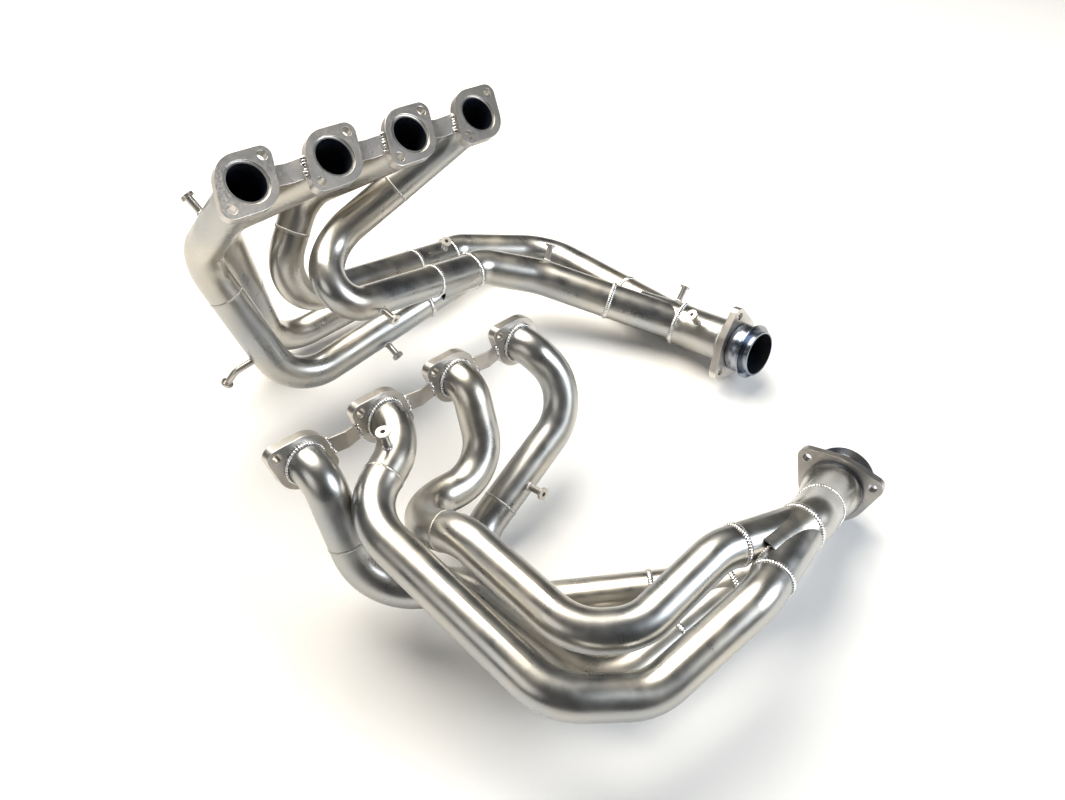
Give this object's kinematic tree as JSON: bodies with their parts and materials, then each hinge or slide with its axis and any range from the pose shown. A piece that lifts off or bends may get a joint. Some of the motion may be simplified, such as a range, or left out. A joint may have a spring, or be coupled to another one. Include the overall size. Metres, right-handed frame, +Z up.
{
  "type": "pair of tubular racing exhaust headers",
  "caption": "Pair of welded stainless racing headers for a V8: four tubes join in pairs, then into one outlet with a loose bolt flange.",
  "frame": {"origin": "on the floor, under the middle of the box round both headers", "axes": "+Z up; +Y from the second header across to the first; +X towards the outlets; both headers lie on the floor"},
  "size_m": [0.7462, 0.7956, 0.4103],
  "materials": {
    "satin_tube": "bead-blasted satin stainless",
    "weld_bead": "bright as-welded bead",
    "plate": "machined plate, dull satin",
    "tinted_neck": "heat-tinted blue-grey"
  },
  "bodies": {
    "left_header": {"left_primary_1_port_side": "satin_tube", "left_primary_1_merge_side": "satin_tube", "left_primary_2_port_side": "satin_tube", "left_primary_2_merge_side": "satin_tube", "left_primary_3_port_side": "satin_tube", "left_primary_3_merge_side": "satin_tube", "left_primary_4_port_side": "satin_tube", "left_primary_4_merge_side": "satin_tube", "left_merge_1_4": "satin_tube", "left_secondary_1_4": "satin_tube", "left_merge_2_3": "satin_tube", "left_secondary_2_3": "satin_tube", "left_collector": "satin_tube", "left_outlet_pipe": "satin_tube", "left_joint_beads": "weld_bead", "left_flange_beads": "weld_bead", "left_posts": "plate", "left_bent_rod": "plate", "left_port_flange_1": "plate", "left_port_flange_2": "plate", "left_port_flange_3": "plate", "left_port_flange_4": "plate", "left_strap_1": "plate", "left_strap_2": "plate", "left_strap_3": "plate", "left_outlet_neck": "tinted_neck"},
    "left_swivel": {"left_swivel_flange": "plate"},
    "right_header": {"right_primary_1_port_side": "satin_tube", "right_primary_1_merge_side": "satin_tube", "right_primary_2_port_side": "satin_tube", "right_primary_2_merge_side": "satin_tube", "right_primary_3_port_side": "satin_tube", "right_primary_3_merge_side": "satin_tube", "right_primary_4_port_side": "satin_tube", "right_primary_4_merge_side": "satin_tube", "right_merge_1_4": "satin_tube", "right_secondary_1_4": "satin_tube", "right_merge_2_3": "satin_tube", "right_secondary_2_3": "satin_tube", "right_collector": "satin_tube", "right_joint_beads": "weld_bead", "right_flange_beads": "weld_bead", "right_posts": "plate", "right_port_flange_1": "plate", "right_port_flange_2": "plate", "right_port_flange_3": "plate", "right_port_flange_4": "plate", "right_strap_1": "plate", "right_strap_2": "plate", "right_strap_3": "plate", "right_outlet_neck": "tinted_neck"},
    "right_swivel": {"right_swivel_flange": "plate"}
  },
  "joints": [
    {"name": "draw_headers_apart", "type": "slide", "parent": "left_header", "child": "right_header", "axis": [0, -1, 0], "range_m": [0, 0.3]},
    {"name": "left_flange_turns", "type": "hinge", "parent": "left_header", "child": "left_swivel", "pos_m": [0.25419, 0.1445, 0.0492], "axis": [0.6882, -0.6936, 0.2131], "continuous": true},
    {"name": "right_flange_turns", "type": "hinge", "parent": "right_header", "child": "right_swivel", "pos_m": [0.32476, -0.10086, 0.05782], "axis": [0.5912, 0.7582, -0.2749], "continuous": true}
  ]
}
